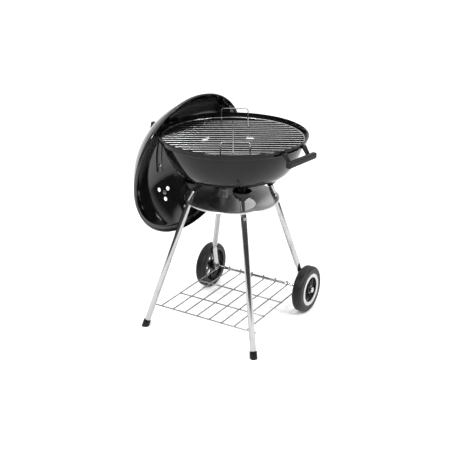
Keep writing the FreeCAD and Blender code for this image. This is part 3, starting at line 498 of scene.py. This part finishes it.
def bowlOutline():
    steel = bowl["sheet"]
    low, high = bowl["cornerStart"], bowl["cornerEnd"]
    bottom = (0.0, bowl["dish"])
    start = tangentPoint(bottom, bowl["dish"], low)
    corner = tangentPoint(start, -bowl["corner"], low)
    end = tangentPoint(corner, bowl["corner"], high)
    under = bowl["depth"] - bowl["band"] - steel
    reach, climb = bowl["ledge"] - end[0], under - end[1]
    turn = math.radians(high)
    wall = (reach ** 2 + climb ** 2) / (2 * (climb * math.cos(turn) - reach * math.sin(turn)))
    flank = tangentPoint(end, -wall, high)
    wallEnd = math.degrees(math.asin((bowl["ledge"] - flank[0]) / wall))
    band = bowl["rim"] - bowl["inset"]
    bead = (bowl["rim"] - bowl["bead"], bowl["depth"] - bowl["bead"])
    seatTurn = math.degrees(math.acos((flank[1] - under - steel) / (wall - steel)))
    rollStart = math.degrees(math.acos((band - bead[0]) / bowl["bead"]))
    rollEnd = math.degrees(math.acos((band - steel - bead[0]) / bowl["bead"]))
    press = bowl["press"]
    outline = arc(bottom, bowl["dish"], -90, -90 + low, 24)
    outline += arc(corner, bowl["corner"], -90 + low, -90 + high, 10)[1:]
    outline += arc(flank, wall, -90 + high, -90 + wallEnd, 22)[1:]
    outline += arc((band - press, under + press), press, -90, 0, 5)
    outline += arc(bead, bowl["bead"], -rollStart, rollEnd, 16)
    outline += [(band - steel, under + steel + 0.001)]
    inner = arc(flank, wall - steel, -90 + seatTurn, -90 + high, 22)
    edge = inner[0]
    outline += [(edge[0] + 0.002, under + steel), (edge[0] + 0.0005, under + steel - 0.0003)]
    outline += inner[1:]
    outline += arc(corner, bowl["corner"] - steel, -90 + high, -90 + low, 10)[1:]
    outline += arc(bottom, bowl["dish"] - steel, -90 + low, -90, 24)[1:]
    return outline


bowlFloor = bowl["top"] - bowl["depth"]
bowlPlace = Matrix.Translation(bowlAxis + Vector((0, 0, bowlFloor)))
shell = turned("bowl_shell", bowlOutline(), bowlPlace, 160)
holes = []
for turn in ventTurns:
    spot = Matrix.Rotation(math.radians(turn), 4, "Z") @ Matrix.Translation((bowl["ventCircle"], 0, 0))
    holes.append(drill(bowlPlace @ spot, bowl["ventHole"], 0.02))
drilled(shell, holes)
settle(shell, "stand", "enamel", finishes["enamel"], "bowl", angle=40)
print("bowl made")


# Ash dish

dish = {"radius": 0.145, "top": 0.406, "depth": 0.022, "flat": 0.072, "sheet": 0.001, "bead": 0.003,
        "soft": 0.006}


def dishOutline():
    steel = dish["sheet"]
    lip = dish["radius"] - 2 * dish["bead"]
    slope = math.degrees(math.atan2(dish["depth"], lip - dish["flat"]))
    back = dish["soft"] * math.tan(math.radians(slope) / 2)
    middle = (dish["radius"] - dish["bead"], dish["depth"])
    outer = arc((dish["flat"] - back, dish["soft"]), dish["soft"], -90, -90 + slope, 5)
    rise = steel / math.cos(math.radians(slope))
    inner = arc((dish["flat"] - back, dish["soft"]), dish["soft"] - steel, -90 + slope, -90, 5)
    outline = [(0.0, 0.0), (dish["flat"] * 0.5, 0.0)] + outer
    outline += [(lip, dish["depth"])]
    outline += arc(middle, dish["bead"], 180, 180 + 350, 22)[1:-3]
    outline += [(lip - steel, dish["depth"] + rise * 0.9)]
    outline += inner + [(dish["flat"] * 0.5, steel), (0.0, steel)]
    return outline


dishPlace = Matrix.Translation(bowlAxis + Vector((0, 0, dish["top"] - dish["depth"])))
settle(turned("ash_dish", dishOutline(), dishPlace, 128), "stand", "aluminium", finishes["aluminium"],
       "ash_catcher", angle=50)
print("ash dish made")


# Lid, hung on the rim: its own axes have Z to the crown and X up

lid = {"azimuth": 169.0, "tilt": 10.9, "hookPlace": 0.1285, "hookDepth": 0.0757, "gap": 0.0003,
       "clear": 0.004, "bead": 0.003, "flare": 0.005, "skirt": 0.0135, "height": 0.142, "dome": 0.221,
       "press": 0.0035, "ventPlace": 0.144, "ventCircle": 0.0215, "ventTurn": 67.0,
       "ventHole": 0.007, "groove": 0.038, "grooveWide": 0.0016, "grooveDeep": 0.0005, "grooveReach": 0.006}


def lidFrame():
    turn, tilt = math.radians(lid["azimuth"]), math.radians(lid["tilt"])
    outward = Vector((math.cos(turn), math.sin(turn), 0))
    up = Vector((0, 0, 1))
    crown = outward * math.cos(tilt) + up * math.sin(tilt)
    rise = up * math.cos(tilt) - outward * math.sin(tilt)
    hook = bowlAxis + outward * (bowl["rim"] - bowl["bead"]) + up * (bowl["top"] + lid["gap"])
    base = hook - rise * lid["hookPlace"] - crown * lid["hookDepth"]
    side = crown.cross(rise)
    return Matrix.Translation(base) @ Matrix((rise, side, crown)).transposed().to_4x4()


def domeSize():
    rise = lid["height"] - lid["skirt"] - bowl["sheet"]
    radius = (lid["dome"] ** 2 + rise ** 2) / (2 * rise)
    return radius, lid["height"] - radius


def lidOutline():
    steel = bowl["sheet"]
    radius, middle = domeSize()
    inner = bowl["rim"] + lid["clear"]
    bead = (inner + lid["flare"] - lid["bead"], lid["bead"])
    top = lid["skirt"] + steel
    outerTurn = math.degrees(math.atan2(top - middle, lid["dome"]))
    under = math.sqrt((radius - steel) ** 2 - (lid["skirt"] - middle) ** 2)
    innerTurn = math.degrees(math.atan2(lid["skirt"] - middle, under))
    press = lid["press"]
    rollStart = math.degrees(math.acos((inner + steel - bead[0]) / lid["bead"]))
    rollEnd = math.degrees(math.acos((inner - bead[0]) / lid["bead"]))
    outline = arc((0.0, middle), radius, 90, outerTurn, 48)
    outline += arc((inner + steel - press, top - press), press, 90, 0, 5)
    outline += arc(bead, lid["bead"], rollStart, -rollEnd, 16)
    outline += [(inner, lid["skirt"] - 0.0015), (inner - 0.0006, lid["skirt"] - 0.0004),
                (inner - 0.002, lid["skirt"])]
    outline += [(under + 0.0015, lid["skirt"]), (under + 0.0003, lid["skirt"] + 0.0005)]
    outline += arc((0.0, middle), radius - steel, innerTurn, 90, 48)[1:]
    return outline


lidPlace = lidFrame()
domeRadius, domeMiddle = domeSize()
ventLean = Matrix.Rotation(-math.asin(lid["ventPlace"] / domeRadius), 4, "Y")
ventPlace = lidPlace @ Matrix.Translation((0, 0, domeMiddle)) @ ventLean
lidShell = turned("lid_shell", lidOutline(), lidPlace, 176)
grooveTop = math.sqrt((domeRadius - bowl["sheet"]) ** 2 - lid["groove"] ** 2) + lid["grooveDeep"]
grooveOutline = [(lid["groove"] + side * lid["grooveWide"] / 2, grooveTop - drop * lid["grooveReach"])
                 for side, drop in ((-1, 0), (1, 0), (1, 1), (-1, 1))]
holes = [turned("lid_groove", grooveOutline, ventPlace, 64, True)]
for turn in ventTurns:
    spot = Matrix.Rotation(math.radians(turn + lid["ventTurn"]), 4, "Z")
    spot = spot @ Matrix.Translation((lid["ventCircle"], 0, domeRadius))
    holes.append(drill(ventPlace @ spot, lid["ventHole"], 0.016))
drilled(lidShell, holes)
settle(lidShell, "lid", "enamel", finishes["lid_enamel"], "lid", angle=40)
print("lid made")


# Moulded grips

grip = {"depth": 0.016, "tall": 0.018, "edge": 0.0042, "end": 0.004, "fingers": 4, "scallop": 0.0011,
        "tip": 0.62, "tipInset": 0.1, "steps": 60,
        "round": [(0.03, 0.70), (0.12, 0.84), (0.35, 0.945), (0.65, 0.985), (1.0, 1.0)]}


def gripSection(perCorner=6):
    wide, tall, edge = grip["depth"] / 2, grip["tall"] / 2, grip["edge"]
    points = []
    for index, (x, z) in enumerate(((1, 1), (-1, 1), (-1, -1), (1, -1))):
        points += arc((x * (wide - edge), z * (tall - edge)), edge, 90 * index, 90 * index + 90, perCorner)
    return points


def mouldedGrip(name, length, place, inward):  # inward is the face that fingers close on
    section = gripSection()
    tip = -length / 2 + grip["end"] * grip["tipInset"]
    clearSelection()
    bpy.ops.mesh.primitive_circle_add(vertices=len(section), radius=0.01, fill_type="NGON")
    piece = bpy.context.object
    piece.name = name
    for corner, (x, z) in zip(piece.data.vertices, section):
        corner.co = (x, tip, z)
    bpy.ops.object.mode_set(mode="EDIT")
    bpy.ops.mesh.select_all(action="SELECT")
    bpy.ops.transform.resize(value=(grip["tip"], 1, grip["tip"]))
    stations = [(-length / 2 + grip["end"] * share, size) for share, size in grip["round"]]
    count = grip["steps"]
    reach = length / 2 - grip["end"]
    for step in range(1, count):
        stations.append((-reach + 2 * reach * step / count, 1.0))
    stations += [(-along, size) for along, size in stations[:len(grip["round"])][::-1]]
    stations.append((-tip, grip["tip"]))
    along, size = tip, grip["tip"]
    for nextAlong, nextSize in stations:
        bpy.ops.mesh.extrude_region_move(TRANSFORM_OT_translate={"value": (0, nextAlong - along, 0)})
        bpy.ops.transform.resize(value=(nextSize / size, 1, nextSize / size))
        along, size = nextAlong, nextSize
    bpy.ops.mesh.select_all(action="SELECT")
    bpy.ops.mesh.normals_make_consistent(inside=False)
    bpy.ops.object.mode_set(mode="OBJECT")
    half = (grip["depth"] / 2, grip["tall"] / 2)
    for corner in piece.data.vertices:
        share = (corner.co.y + reach) / (2 * reach)
        if 0 < share < 1:
            near = max(0.0, corner.co.x * inward[0] / half[0], corner.co.z * inward[1] / half[1])
            push = grip["scallop"] * near ** 3 * (1 - math.cos(2 * math.pi * grip["fingers"] * share)) / 2
            corner.co.x -= inward[0] * push
            corner.co.z -= inward[1] * push
    piece.data.transform(place)
    return piece


sideHandle = {"azimuth": -8.0, "length": 0.132, "drop": 0.0345, "reach": 0.24815}
turn = Matrix.Rotation(math.radians(sideHandle["azimuth"]), 4, "Z")
height = bowl["top"] - sideHandle["drop"]
place = Matrix.Translation(bowlAxis) @ turn @ Matrix.Translation((sideHandle["reach"], 0, height))
piece = mouldedGrip("side_grip", sideHandle["length"], place, (-1, 0))
settle(piece, "stand", "handle_plastic", finishes["handle_plastic"], "side_handle_grip", angle=50)

lidHandle = {"length": 0.144, "rise": 0.17915}
place = lidPlace @ Matrix.Translation((0, 0, lidHandle["rise"])) @ Matrix.Rotation(math.pi / 2, 4, "Z")
piece = mouldedGrip("lid_grip", lidHandle["length"], place, (0, -1))
settle(piece, "lid", "handle_plastic", finishes["handle_plastic"], "lid_handle_grip", angle=50)
print("grips made")


# Damper knob

knob = {"radius": 0.011, "length": 0.026, "stem": 0.004, "deep": 0.0004,
        "grooves": (0.30, 0.36, 0.42, 0.48, 0.54, 0.60, 0.66, 0.72)}
low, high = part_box("bowl_damper_knob")
top = high.z - low.z
size, stem, length = knob["radius"], knob["stem"], knob["length"]
outline = [(0.0, 0.0), (size * 0.55, 0.0), (size * 0.6, 0.0006), (size * 0.82, 0.0006)]
outline += arc((size - 0.0018, 0.0018), 0.0018, -90, 0, 4)
for groove in knob["grooves"]:
    level = length * groove
    outline += [(size, level - 0.0005), (size - knob["deep"], level), (size, level + 0.0005)]
outline += arc((size - 0.0022, length - 0.0022), 0.0022, 0, 90, 5)
outline += [(stem + 0.001, length), (stem, length + 0.001), (stem, top - 0.0002), (0.0, top)]
middle = (low + high) / 2
piece = turned("damper_knob", outline, Matrix.Translation((middle.x, middle.y, low.z)), 48)
settle(piece, "bowl_damper", "handle_plastic", finishes["knob_metal"], "bowl_damper_knob", angle=40)


# Wire grids

weld = 0.0006  # how far crossing wires sink into each other
grid = {"radius": 0.212, "ring": 0.0025, "rod": 0.0017, "pitch": 0.021, "count": 17, "lift": 0.0,
        "azimuth": 30.8, "gripWidth": 0.083, "gripHeight": 0.0345, "gripPlace": 0.180, "gripFoot": 0.086,
        "gripBend": 0.007, "gripShift": 0.006, "gap": 0.00015}
grate = {"radius": 0.158, "ring": 0.003, "rod": 0.0025, "pitch": 0.024, "count": 12, "lift": 0.0055 - weld}


def ringWire(name, radius, thick, place):
    clearSelection()
    bpy.ops.mesh.primitive_torus_add(major_radius=radius, minor_radius=thick, major_segments=144,
                                     minor_segments=14)
    piece = bpy.context.object
    piece.name = name
    piece.data.transform(place)
    return piece


def weldedGrid(name, sizes, place):
    pieces = [ringWire(name, sizes["radius"], sizes["ring"], place)]
    for index in range(sizes["count"]):
        offset = sizes["pitch"] * (index - (sizes["count"] - 1) / 2)
        half = math.sqrt(sizes["radius"] ** 2 - offset ** 2) - 0.0002
        ends = [place @ Vector((side * half, offset, sizes["lift"])) for side in (-1, 1)]
        pieces.append(eased(rod(name, *ends, sizes["rod"]), sizes["rod"] * 0.35))
    return pieces


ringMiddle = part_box("cooking_grid")[0].z + grid["ring"]
gridTurn = Matrix.Rotation(math.radians(grid["azimuth"]), 4, "Z")
gridPlace = Matrix.Translation(bowlAxis + Vector((0, 0, ringMiddle))) @ gridTurn
pieces = weldedGrid("grid_wires", grid, gridPlace)
edge = grid["pitch"] * (grid["count"] - 1) / 2
ends = [gridPlace @ Vector((0, side * edge, 2 * grid["rod"] - weld)) for side in (-1, 1)]
pieces.append(eased(rod("grid_stay", *ends, grid["rod"]), grid["rod"] * 0.35))
settle(joined("grid_wires", pieces), "cooking_grid", "wire", finishes["wire"], "cooking_grid", angle=60)

low = 2 * grid["rod"] + grid["gap"]
for name, side in (("front", -1), ("rear", 1)):
    half = grid["gripWidth"] / 2
    inner, outer = side * (grid["gripPlace"] - grid["gripFoot"]), side * grid["gripPlace"]
    high = low + grid["gripHeight"]
    corners = [(-half, inner, low), (-half, outer, low), (-half, outer, high), (half, outer, high),
               (half, outer, low), (half, inner, low)]
    path = [gridPlace @ (Vector(corner) + Vector((grid["gripShift"], 0, 0))) for corner in corners]
    piece = wire("grid_grip_" + name, softCorners(path, grid["gripBend"]), grid["rod"])
    settle(piece, "cooking_grid", "wire", finishes["wire"], "grid_%s_handle" % name, angle=60)

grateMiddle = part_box("charcoal_grate")[0].z + grate["ring"]
gratePlace = Matrix.Translation(bowlAxis + Vector((0, 0, grateMiddle))) @ gridTurn
pieces = weldedGrid("grate_wires", grate, gratePlace)
settle(joined("grate_wires", pieces), "charcoal_grate", "grate_steel", finishes["grate_steel"],
       "charcoal_grate", angle=60)
print("grids made")


# Shelf

shelf = {"wire": 0.002, "count": 8, "half": 0.152, "cross": 2, "axleRadius": 0.005, "gap": 0.00015}
axleLow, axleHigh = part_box("axle")
axleMiddle = (axleLow + axleHigh) / 2
shelfLow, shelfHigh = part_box("shelf")
thick = shelf["wire"]
hookRadius = shelf["axleRadius"] + shelf["gap"] + thick
level = axleMiddle.z - hookRadius
front = shelfLow.y + thick
pieces = []
for index in range(shelf["count"]):
    across = bowlAxis.x + shelf["half"] * (2 * index / (shelf["count"] - 1) - 1)
    path = [Vector((across, front, level)), Vector((across, (front + axleMiddle.y) / 2, level))]
    path += [Vector((across, y, z)) for y, z in arc((axleMiddle.y, axleMiddle.z), hookRadius, -90, 90, 14)]
    pieces.append(wire("shelf_wire", path, thick))
frontEnds = [Vector((x, front, level)) for x in (shelfLow.x + 0.0001, shelfHigh.x - 0.0001)]
pieces.append(eased(rod("shelf_front", *frontEnds, thick), thick * 0.35))
for index in range(shelf["cross"]):
    along = front + (axleMiddle.y - front) * (index + 1) / (shelf["cross"] + 1)
    below = level - 2 * thick + weld
    ends = [Vector((bowlAxis.x + side * shelf["half"], along, below)) for side in (-1, 1)]
    pieces.append(eased(rod("shelf_cross", *ends, thick), thick * 0.35))
settle(joined("shelf_wires", pieces), "stand", "wire", finishes["shelf_wire"], "shelf", angle=60)
print("shelf made")


# Wheels

ease = {"hub": 0.0006, "washer": 0.0002, "cap": 0.0012, "bracket": 0.0003, "tube": 0.0002, "foot": 0.0008,
        "fixing": 0.0005, "axle": 0.0003, "arm": 0.0007, "rest": 0.001, "hook": 0.0006}  # edge rounding
wheel = {"radius": 0.075, "width": 0.034, "shoulder": 0.009, "barrel": 0.0585, "gap": 0.00015,
         "inner": 0.1629, "trimOuter": 0.0525, "trimInner": 0.041, "trimSheet": 0.0024, "groove": 0.0012}


def tyreOutline():
    width, outer, soft = wheel["width"], wheel["radius"], wheel["shoulder"]
    inner = wheel["barrel"] + wheel["gap"]
    outline = [(inner, 0.0006), (inner + 0.0006, 0.0), (inner + 0.003, 0.0), (inner + 0.0035, 0.0006),
               (inner + 0.0042, 0.0006), (inner + 0.0047, 0.0)]
    outline += arc((outer - soft, soft), soft, -90, 0, 10)
    half = 0.0009
    for share in (0.36, 0.5, 0.64):
        middle = width * share
        outline += [(outer, middle - half), (outer - wheel["groove"], middle - half * 0.5),
                    (outer - wheel["groove"], middle + half * 0.5), (outer, middle + half)]
    outline += arc((outer - soft, width - soft), soft, 0, 90, 10)
    lip = wheel["trimOuter"] + wheel["gap"]
    outline += [(inner + 0.0047, width), (inner + 0.0042, width - 0.0006), (inner + 0.0035, width - 0.0006),
                (inner + 0.003, width), (lip + 0.0006, width), (lip, width - 0.0006),
                (lip, width - wheel["trimSheet"]), (inner, width - wheel["trimSheet"])]
    return outline


def trimOutline():
    outer, inner, thick = wheel["trimOuter"], wheel["trimInner"], wheel["trimSheet"]
    crown = [(outer, 0.0), (outer, thick - 0.0009)]
    crown += arc((outer - 0.0009, thick - 0.0009), 0.0009, 0, 90, 4)[1:]
    crown += [((outer + inner) / 2 + 0.004, thick - 0.0003), ((outer + inner) / 2 - 0.004, thick - 0.0004)]
    crown += arc((inner + 0.0008, thick - 0.0009), 0.0008, 90, 180, 4)
    return crown + [(inner, 0.0)]


for name, side in (("left", -1), ("right", 1)):
    turn = Matrix.Rotation(side * math.pi / 2, 4, "Y")
    hubPlace = Matrix.Translation((bowlAxis.x + side * wheel["inner"], axleMiddle.y, axleMiddle.z)) @ turn
    body = name + "_wheel"
    piece = turned(name + "_tread", tyreOutline(), hubPlace, 120, True)
    settle(piece, body, "tyre", finishes["tyre"], name + "_tyre", angle=30)
    lift = Matrix.Translation((0, 0, wheel["width"] - wheel["trimSheet"]))
    piece = turned(name + "_ring", trimOutline(), hubPlace @ lift, 120, True)
    settle(piece, body, "trim_white", finishes["trim_white"], name + "_trim_ring", angle=30)
    polished(name + "_hub", body, "hub_plastic", finishes["hub_plastic"], ease["hub"])
    polished(name + "_washer", "stand", "steel", finishes["steel"], ease["washer"])
    polished(name + "_axle_cap", "stand", "chrome", finishes["chrome"], ease["cap"])
print("wheels made")


# Pressed, bent and turned small parts

for corner in ("front_left", "front_right", "rear_left", "rear_right"):
    polished(corner + "_bracket", "stand", "black_steel", finishes["black_steel"], ease["bracket"])
    polished(corner + "_upper_leg", "stand", "chrome", finishes["chrome"], ease["tube"])
    polished(corner + "_leg", "stand", "chrome", finishes["chrome"], ease["tube"], 45)
for corner in ("front_left", "front_right"):
    polished(corner + "_foot", "stand", "foot_plastic", finishes["foot_plastic"], ease["foot"])
for node in ("bracket_bolts", "leg_screws", "bowl_damper_rivet"):
    polished(node, "stand", "steel", finishes["steel"], ease["fixing"])
polished("axle", "stand", "chrome", finishes["chrome"], ease["axle"])
for end in ("front", "rear"):
    polished("side_handle_%s_arm" % end, "stand", "black_steel", finishes["black_steel"], ease["arm"])
    polished("lid_rest_" + end, "stand", "handle_plastic", finishes["handle_plastic"], ease["rest"])
polished("bowl_damper", "bowl_damper", "aluminium", finishes["aluminium"], 0)
polished("lid_damper", "lid_damper", "aluminium", finishes["aluminium"], 0)
for end in ("upper", "lower"):
    polished("lid_handle_%s_arm" % end, "lid", "black_steel", finishes["black_steel"], ease["arm"])
polished("lid_handle_screws", "lid", "steel", finishes["steel"], ease["fixing"])
polished("lid_damper_rivet", "lid", "steel", finishes["steel"], ease["fixing"])
polished("lid_hook", "lid", "black_steel", finishes["lid_enamel"], ease["hook"])
print("small parts made")


# Floor, light and camera

paperFloor = {"size": 24.0, "drop": 0.0002, "dark": 0.88, "light": 0.90, "glow": 0.15}


def makeFloor():
    clearSelection()
    bpy.ops.mesh.primitive_plane_add(size=paperFloor["size"], location=(0, 0, -paperFloor["drop"]))
    floor = bpy.context.object
    floor.name = "studio_floor"
    paper = Finish("studioPaper", Roughness=0.9, Specular_IOR_Level=0.0,
                   Emission_Strength=paperFloor["glow"])
    paper.shader.inputs["Emission Color"].default_value = grey(1.0)
    grain = paper.noise(3.0, 3.0, 0.5)
    paper.colour(paper.blended(grain, grey(paperFloor["dark"]), grey(paperFloor["light"])))
    floor.data.materials.append(paper.material)


studio = {"azimuth": 30.775, "pitch": 21.972, "roll": 0.599, "lens": 77.69,
          "place": (1.45548, -2.41243, 1.43005), "ceiling": 1.9, "sweep": 1.0, "walls": 0.10}


def makeWorld():  # a white ceiling, a white sweep behind the grill and dim walls
    world = bpy.data.worlds.new("studio")
    bpy.context.scene.world = world
    world.use_nodes = True
    tree = world.node_tree
    tree.nodes.clear()

    def node(kind, settings, sockets, output=0):
        item = tree.nodes.new(kind)
        for key, value in settings.items():
            setattr(item, key, value)
        for key, value in sockets.items():
            if isinstance(value, bpy.types.NodeSocket):
                tree.links.new(value, item.inputs[key])
            else:
                item.inputs[key].default_value = value
        return item.outputs[output] if item.outputs else None

    def maths(operation, first, second=0.0):
        return node("ShaderNodeMath", {"operation": operation}, {0: first, 1: second})

    def ramp(value, low, high):
        return node("ShaderNodeMapRange", {"interpolation_type": "SMOOTHSTEP"}, {0: value, 1: low, 2: high})

    way = node("ShaderNodeTexCoord", {}, {}, "Generated")
    up = node("ShaderNodeSeparateXYZ", {}, {0: way}, "Z")
    turn = math.radians(studio["azimuth"])
    back = node("ShaderNodeVectorMath", {"operation": "DOT_PRODUCT"},
                {0: way, 1: (-math.sin(turn), math.cos(turn), 0)}, "Value")
    level = maths("SQRT", maths("MAXIMUM", maths("SUBTRACT", 1.0, maths("MULTIPLY", up, up)), 0.01))
    sweep = maths("MAXIMUM", ramp(maths("DIVIDE", back, level), 0.25, 0.6), ramp(up, 0.05, 0.0))
    below = node("ShaderNodeMix", {}, {0: sweep, 2: studio["walls"], 3: studio["sweep"]})
    light = node("ShaderNodeMix", {}, {0: ramp(up, 0.56, 0.70), 2: below, 3: studio["ceiling"]})
    path = node("ShaderNodeLightPath", {}, {}, "Is Camera Ray")
    seen = node("ShaderNodeMix", {}, {0: path, 2: light, 3: 1.0})
    glow = node("ShaderNodeBackground", {}, {"Color": seen, "Strength": 1.0})
    node("ShaderNodeOutputWorld", {}, {"Surface": glow})


lamps = {"right": (-0.9, 35.5), "left": (-95.4, 37.9)}  # each lamp's azimuth and elevation
lamp = {"distance": 2.4, "wide": 0.62, "tall": 0.20, "power": 27.0, "aim": 0.53}


def makeLamps():
    target = bowlAxis + Vector((0, 0, lamp["aim"]))
    for name, (azimuth, elevation) in lamps.items():
        turn, rise = math.radians(azimuth), math.radians(elevation)
        way = Vector((math.cos(turn) * math.cos(rise), math.sin(turn) * math.cos(rise), math.sin(rise)))
        clearSelection()
        bpy.ops.object.light_add(type="AREA", location=target + way * lamp["distance"])
        light = bpy.context.object
        light.name = "lamp_" + name
        light.data.shape = "ELLIPSE"
        light.data.size = lamp["wide"]
        light.data.size_y = lamp["tall"]
        light.data.energy = lamp["power"]
        light.rotation_euler = (-way).to_track_quat("-Z", "Y").to_euler()


def makeCamera():
    turn, dip, roll = (math.radians(studio[key]) for key in ("azimuth", "pitch", "roll"))
    ahead = Vector((-math.sin(turn) * math.cos(dip), math.cos(turn) * math.cos(dip), -math.sin(dip)))
    right = Vector((math.cos(turn), math.sin(turn), 0))
    up = right.cross(ahead)
    rolledRight = right * math.cos(roll) + up * math.sin(roll)
    rolledUp = up * math.cos(roll) - right * math.sin(roll)
    data = bpy.data.cameras.new("view")
    camera = bpy.data.objects.new("view", data)
    bpy.context.scene.collection.objects.link(camera)
    data.lens = studio["lens"]
    data.sensor_width = 36.0
    data.clip_end = 60.0
    facing = Matrix((rolledRight, rolledUp, -ahead)).transposed().to_4x4()
    camera.matrix_world = Matrix.Translation(studio["place"]) @ facing
    bpy.context.scene.camera = camera


makeFloor()
makeWorld()
makeLamps()
makeCamera()
bpy.context.scene.view_settings.view_transform = "Standard"
print("studio made")
